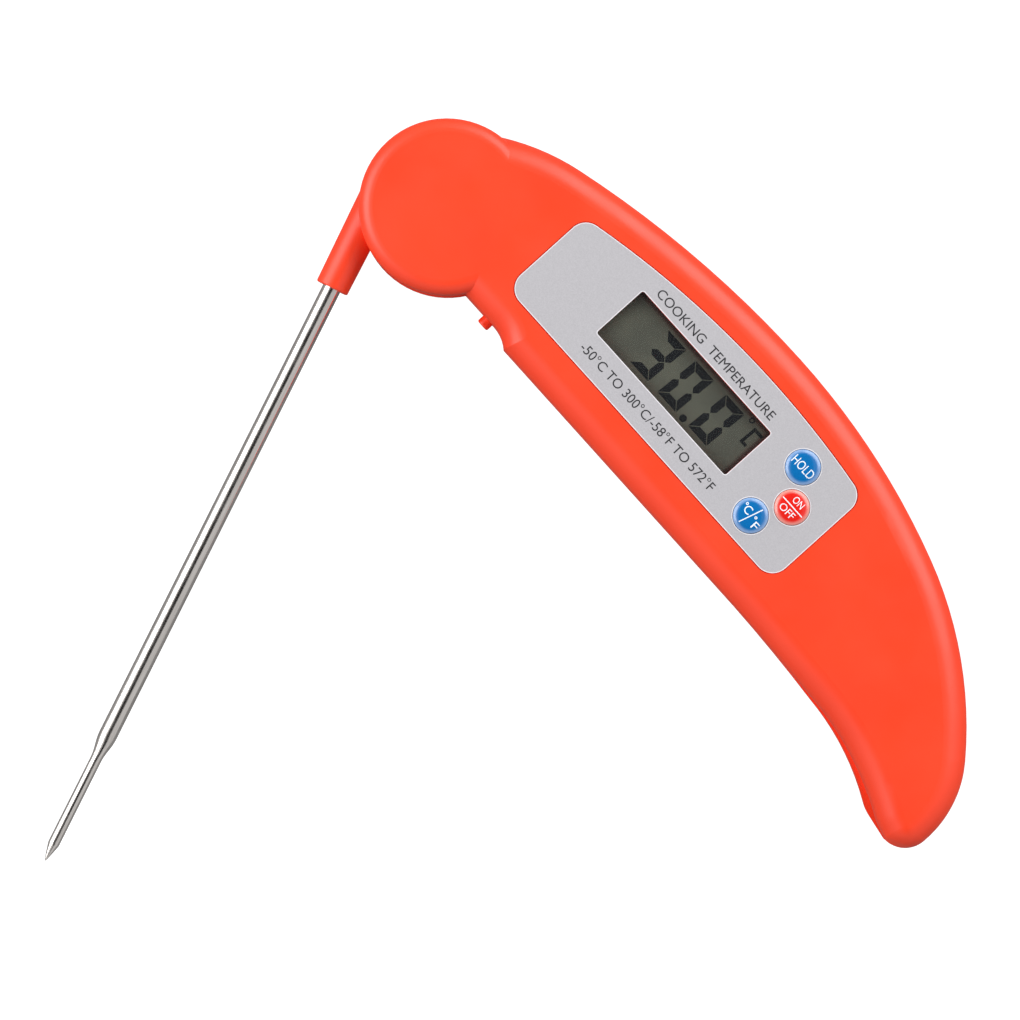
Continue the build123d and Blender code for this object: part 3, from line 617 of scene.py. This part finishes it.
def legend(node, name, draw):
    """White print on a button: draw adds it around the button's centre."""
    centre = middle(node).xy
    bm = bmesh.new()
    draw(bm, centre.x, centre.y)
    bmesh.ops.remove_doubles(bm, verts=bm.verts, dist=0.0005)
    lay_on_dome(bm, centre)
    piece(name, from_bmesh(bm), WHITE, node)


def draw_hold(bm, x, y):
    """The word that freezes the reading."""
    letter(bm, "HOLD", x - 2.4, x + 2.4, y - 0.8, 1.65, 0.0, 1.0)


def draw_power(bm, x, y):
    """The two words of the power button, with a line between them."""
    letter(bm, "ON", x - 0.95, x + 1.25, y + 0.75, 1.3, 0.0, 1.0)
    letter(bm, "OFF", x - 1.75, x + 1.5, y - 1.75, 1.3, 0.0, 1.0)
    stroke(bm, (x - 2.5, y + 0.1), (x + 2.5, y + 0.1), 0.2, 0.0, 1.0)


def draw_unit(bm, x, y):
    """The two units, each with its degree ring, and a slanted line between them."""
    hoop(bm, (x - 2.0, y + 1.0), 0.12, 0.27, 0.0, 1.0, count=16)
    letter(bm, "C", x - 1.75, x - 0.42, y - 0.42, 1.55, 0.0, 1.0)
    stroke(bm, (x - 0.64, y - 2.3), (x + 0.7, y + 2.3), 0.2, 0.0, 1.0)
    hoop(bm, (x + 0.9, y + 0.4), 0.12, 0.27, 0.0, 1.0, count=16)
    letter(bm, "F", x + 1.4, x + 2.45, y - 1.45, 1.5, 0.0, 1.0)


def buttons():
    """The three caps and their legends."""
    for node, core, rim_and_highlight, slot, draw in (
            # each cap's second colour is its paler rim, partly a painted edge highlight
            ("hold_button", "0A6CB0", "86A8D6", "blue_button", draw_hold),
            ("power_button", "E5231A", "EE9488", "red_button", draw_power),
            ("unit_button", "0A6CB0", "86A8D6", "blue_button", draw_unit)):
        material = domed_cap(f"domed_cap_{node}", core, rim_and_highlight, middle(node))
        button_cap(node, f"{node}_cap", material)
        legend(node, f"{node}_legend", draw)


# ---------------------------------------------------------------- geometry nodes
def node_tree(name, sizes):
    """An empty Geometry Nodes tree with these named inputs. Gives the tree, its inputs and its output."""
    tree = bpy.data.node_groups.new(name, "GeometryNodeTree")
    for label, (kind, value) in sizes.items():
        socket = tree.interface.new_socket(label, in_out="INPUT", socket_type=kind)
        if value is not None:
            socket.default_value = value
    tree.interface.new_socket("Geometry", in_out="OUTPUT", socket_type="NodeSocketGeometry")
    source = add(tree, "NodeGroupInput")
    return tree, source.outputs, add(tree, "NodeGroupOutput")


def close_tree(tree, shape, out, material):
    """End a tree in Realize Instances and Set Material."""
    real = add(tree, "GeometryNodeRealizeInstances", {"Geometry": shape})
    painted = add(tree, "GeometryNodeSetMaterial", {"Geometry": real.outputs[0], "Material": material})
    tree.links.new(painted.outputs[0], out.inputs[0])


def grown(tree, values):
    """The plain mesh that a tree makes, with its inputs set by name."""
    holder = bpy.data.objects.new(tree.name, bpy.data.meshes.new(tree.name))
    SCENE.collection.objects.link(holder)
    modifier = holder.modifiers.new(tree.name, "NODES")
    modifier.node_group = tree
    for item in tree.interface.items_tree:
        if item.in_out == "INPUT" and item.name in values:
            modifier[item.identifier] = values[item.name]
    bpy.context.view_layer.update()
    mesh = bpy.data.meshes.new_from_object(holder.evaluated_get(bpy.context.evaluated_depsgraph_get()))
    bpy.data.objects.remove(holder)
    return mesh


FLOAT = "NodeSocketFloat"


def step_between(tree, value, start, end, first, last):
    """A radius that changes smoothly from one value to another along the probe."""
    return add(tree, "ShaderNodeMapRange", {
        "Value": value, "From Min": start, "From Max": end, "To Min": first, "To Max": last},
        interpolation_type="SMOOTHERSTEP").outputs["Result"]


def drawn_probe_tree():
    """A straight tube whose radius follows its length: plain, drawn down at the neck, sharp at the tip."""
    sizes = {name: (FLOAT, 1.0) for name in (
        "Start", "End", "Tube Radius", "Neck Start", "Neck End", "Tip Radius", "Taper Start", "Point Radius")}
    tree, size, out = node_tree("drawn_probe", sizes)
    start = add(tree, "ShaderNodeCombineXYZ", {"X": size["Start"]})
    end = add(tree, "ShaderNodeCombineXYZ", {"X": size["End"]})
    line = add(tree, "GeometryNodeCurvePrimitiveLine", {"Start": start.outputs[0], "End": end.outputs[0]})
    fine = add(tree, "GeometryNodeResampleCurve", {"Curve": line.outputs[0], "Count": 520})
    place = add(tree, "GeometryNodeInputPosition")
    along = add(tree, "ShaderNodeSeparateXYZ", {0: place.outputs[0]}).outputs["X"]
    neck = step_between(
        tree, along, size["Neck Start"], size["Neck End"], size["Tube Radius"], size["Tip Radius"])
    share = add(tree, "ShaderNodeMapRange", {
        "Value": along, "From Min": size["Taper Start"], "From Max": size["End"],
        "To Min": 1.0, "To Max": 0.0})
    eased = add(tree, "ShaderNodeMath", {0: share.outputs["Result"], 1: 0.85}, operation="POWER")
    drop = add(tree, "ShaderNodeMath", {
        0: size["Tip Radius"], 1: size["Point Radius"]}, operation="SUBTRACT")
    point = add(tree, "ShaderNodeMath", {
        0: eased.outputs[0], 1: drop.outputs[0], 2: size["Point Radius"]}, operation="MULTIPLY_ADD")
    radius = add(tree, "ShaderNodeMath", {0: neck, 1: point.outputs[0]}, operation="MINIMUM")
    before = add(tree, "ShaderNodeMath", {0: along, 1: size["Taper Start"]}, operation="LESS_THAN")
    chosen = add(tree, "GeometryNodeSwitch", {
        "Switch": before.outputs[0], "False": radius.outputs[0], "True": neck}, input_type="FLOAT")
    ring = add(tree, "GeometryNodeCurvePrimitiveCircle", {"Resolution": 40, "Radius": 1.0})
    tube = add(tree, "GeometryNodeCurveToMesh", {
        "Curve": fine.outputs[0], "Profile Curve": ring.outputs[0], "Scale": chosen.outputs[0],
        "Fill Caps": True})
    close_tree(tree, tube.outputs[0], out, STEEL)
    return tree


def probe_frame(mesh):
    """Turn a piece drawn along +X into the place of the probe at rest."""
    turn = Matrix.Rotation(PROBE_ANGLE, 4, "Z")
    mesh.transform(turn @ Matrix.Translation((0.0, -PROBE_OFFSET * MM, SEAM_Z * MM)))


def steel_probe():
    """The probe's tube, with its drawn neck and point. Past the neck it is 0.2 mm thicker in radius
    than the frame's."""
    sizes = {"Start": 21.4, "End": 137.3, "Tube Radius": 1.7, "Neck Start": 111.6, "Neck End": 117.4,
             "Tip Radius": 1.05, "Taper Start": 133.9, "Point Radius": 0.07}
    mesh = grown(drawn_probe_tree(), {name: value * MM for name, value in sizes.items()})
    probe_frame(mesh)
    probe = piece("steel_probe", mesh, STEEL, "probe_arm", smooth=50)
    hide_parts("probe_tube")


def coil_tree():
    """A coil spring along Z, from its turns, height and wire."""
    sizes = {name: (FLOAT, 1.0) for name in ("Turns", "Radius", "Height", "Wire Radius")}
    tree, size, out = node_tree("coil_spring", sizes)
    coil = add(tree, "GeometryNodeCurveSpiral", {
        "Resolution": 32, "Rotations": size["Turns"], "Start Radius": size["Radius"],
        "End Radius": size["Radius"], "Height": size["Height"]})
    ring = add(tree, "GeometryNodeCurvePrimitiveCircle", {"Resolution": 12, "Radius": size["Wire Radius"]})
    wire = add(tree, "GeometryNodeCurveToMesh", {
        "Curve": coil.outputs[0], "Profile Curve": ring.outputs[0], "Fill Caps": True})
    close_tree(tree, wire.outputs[0], out, NICKEL)
    return tree


def plunger_coil():
    """The plunger's spring, at its resting length; on the real part the plunger shortens it when it is
    pressed.
    """
    low, high = span("plunger_spring")
    wire = 0.17
    mesh = grown(coil_tree(), {
        "Turns": 4.5, "Radius": 1.6 * MM, "Height": (high.y - low.y - 2 * wire) * MM,
        "Wire Radius": wire * MM})
    centre = middle("plunger_spring")
    foot = Vector((centre.x, low.y + wire, centre.z)) * MM
    mesh.transform(Matrix.Translation(foot) @ Matrix.Rotation(-math.pi / 2, 4, "X"))
    spring = piece("plunger_coil", mesh, NICKEL, "handle", smooth=60)
    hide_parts("plunger_spring")
    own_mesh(spring)


def ribbed_ring_tree():
    """Small bars set round a circle, pointing outwards."""
    sizes = {name: (FLOAT, 1.0) for name in ("Ring Radius", "Bar Length", "Bar Width", "Bar Height")}
    sizes["Count"] = ("NodeSocketInt", 36)
    tree, size, out = node_tree("ribbed_ring", sizes)
    ring = add(tree, "GeometryNodeMeshCircle", {"Vertices": size["Count"], "Radius": size["Ring Radius"]})
    block = add(tree, "ShaderNodeCombineXYZ", {
        "X": size["Bar Length"], "Y": size["Bar Width"], "Z": size["Bar Height"]})
    bar = add(tree, "GeometryNodeMeshCube", {"Size": block.outputs[0]})
    place = add(tree, "GeometryNodeInputPosition")
    facing = add(tree, "FunctionNodeAlignRotationToVector", {"Vector": place.outputs[0]}, axis="X")
    bars = add(tree, "GeometryNodeInstanceOnPoints", {
        "Points": ring.outputs[0], "Instance": bar.outputs[0], "Rotation": facing.outputs[0]})
    close_tree(tree, bars.outputs[0], out, ABS)
    return tree


def door_ribs():
    """Raised ribs round the battery door, so that a thumb can turn it."""
    centre = middle("battery_door_seal")
    outer_face = span("battery_door")[0].z
    lift = 0.06  # how far the middle of a rib stands out of the door's face
    mesh = grown(ribbed_ring_tree(), {
        "Count": 40, "Ring Radius": 9.6 * MM, "Bar Length": 1.7 * MM, "Bar Width": 0.5 * MM,
        "Bar Height": 0.24 * MM})
    mesh.transform(Matrix.Translation(Vector((centre.x, centre.y, outer_face - lift)) * MM))
    piece("battery_door_ribs", mesh, ABS, "battery_door")


# ---------------------------------------------------------------- studio
CAMERA_AT = (47.84, -27.89, 900.0)
CAMERA_LENS = 174.7
VIEW_RIGHT = Vector((0.6691, 0.7431, 0.0))
VIEW_UP = Vector((-0.7431, 0.6691, 0.0))
TARGET = Vector((CAMERA_AT[0], CAMERA_AT[1], 0.0)) * MM
# metres, like everything in the studio from here on
FLOOR_HALF = 3.0
FLOOR_DROP = 0.0002
CARD_HALF_WIDTH = 0.32
CARD_HALF_LENGTH = 1.0
CARD_OFFSET = 0.04
CARD_HEIGHT = 1.05
SURROUND_ON_OBJECT = 0.57


def camera():
    """Straight above, with the handle lying across the view."""
    data = bpy.data.cameras.new("camera")
    data.lens = CAMERA_LENS
    data.sensor_width = 36.0
    obj = bpy.data.objects.new("camera", data)
    SCENE.collection.objects.link(obj)
    axes = Matrix((VIEW_RIGHT, VIEW_UP, Vector((0.0, 0.0, 1.0)))).transposed()
    obj.matrix_world = Matrix.Translation(Vector(CAMERA_AT) * MM) @ axes.to_4x4()
    SCENE.camera = obj


def softbox(name, offset, size, watts):
    """A large soft lamp, set off from the middle of the object and aimed at it."""
    lamp = bpy.data.lights.new(name, "AREA")
    lamp.shape = "RECTANGLE"
    lamp.size, lamp.size_y = size
    lamp.energy = watts
    obj = bpy.data.objects.new(name, lamp)
    SCENE.collection.objects.link(obj)
    place = TARGET + offset
    aim = (TARGET - place).to_track_quat("-Z", "Y")
    obj.matrix_world = Matrix.Translation(place) @ aim.to_matrix().to_4x4()


def ceiling_card():
    """A dark card overhead, hidden from the camera itself. The polished steel shows it as a dark stripe
    along its middle."""
    mesh = bpy.data.meshes.new("ceiling_card")
    centre = TARGET + VIEW_RIGHT * CARD_OFFSET + Vector((0, 0, CARD_HEIGHT))
    corners = [centre + VIEW_RIGHT * x * CARD_HALF_WIDTH + VIEW_UP * y * CARD_HALF_LENGTH
               for x, y in ((-1, -1), (1, -1), (1, 1), (-1, 1))]
    mesh.from_pydata(corners, [], [(0, 1, 2, 3)])
    material, tree, shader = finish_of("black_card", Roughness=0.9)
    mottle(tree, shader, "202020", "242424", 30.0)
    mesh.materials.append(material)
    card = bpy.data.objects.new("ceiling_card", mesh)
    SCENE.collection.objects.link(card)
    card.visible_camera = False


def sweep():
    """The floor: pure white to the camera and a plain grey to the object, whose polished steel then
    shows dark edges."""
    mesh = bpy.data.meshes.new("floor")
    corners = [(x * FLOOR_HALF, y * FLOOR_HALF, 0) for x, y in ((-1, -1), (1, -1), (1, 1), (-1, 1))]
    mesh.from_pydata(corners, [], [(0, 1, 2, 3)])
    material, tree, shader = finish_of("grey_paper_sweep", Roughness=0.9)
    mottle(tree, shader, "7C7C7C", "787878", 30.0)
    shader.inputs["Emission Color"].default_value = (1.0, 1.0, 1.0, 1.0)
    seen = add(tree, "ShaderNodeLightPath").outputs["Is Camera Ray"]
    tree.links.new(seen, shader.inputs["Emission Strength"])
    mesh.materials.append(material)
    floor = bpy.data.objects.new("floor", mesh)
    floor.location.z = -FLOOR_DROP
    SCENE.collection.objects.link(floor)


def surround():
    """Even light from all round: pure white to the camera and weaker on the object."""
    world = SCENE.world or bpy.data.worlds.new("surround")
    SCENE.world = world
    world.use_nodes = True
    tree = world.node_tree
    background = tree.nodes["Background"]
    background.inputs["Color"].default_value = (1.0, 1.0, 1.0, 1.0)
    seen = add(tree, "ShaderNodeLightPath").outputs["Is Camera Ray"]
    power = add(tree, "ShaderNodeMapRange", {"Value": seen, "To Min": SURROUND_ON_OBJECT, "To Max": 1.0})
    tree.links.new(power.outputs["Result"], background.inputs["Strength"])


def studio():
    """The sweep, the surround, two soft lamps and the dark card, with colours shown as they are."""
    sweep()
    surround()
    softbox("lamp_left", VIEW_RIGHT * -0.8 + VIEW_UP * 0.15 + Vector((0, 0, 0.62)), (0.9, 0.8), 8.5)
    softbox("lamp_right", VIEW_RIGHT * 0.62 + VIEW_UP * 0.5 + Vector((0, 0, 0.5)), (1.1, 0.8), 8.5)
    ceiling_card()
    SCENE.view_settings.view_transform = "Standard"
    SCENE.view_settings.look = "None"


camera()
studio()
dress_frame()
label_print()
cut_edges()
display_segments()
buttons()
steel_probe()
plunger_coil()
door_ribs()
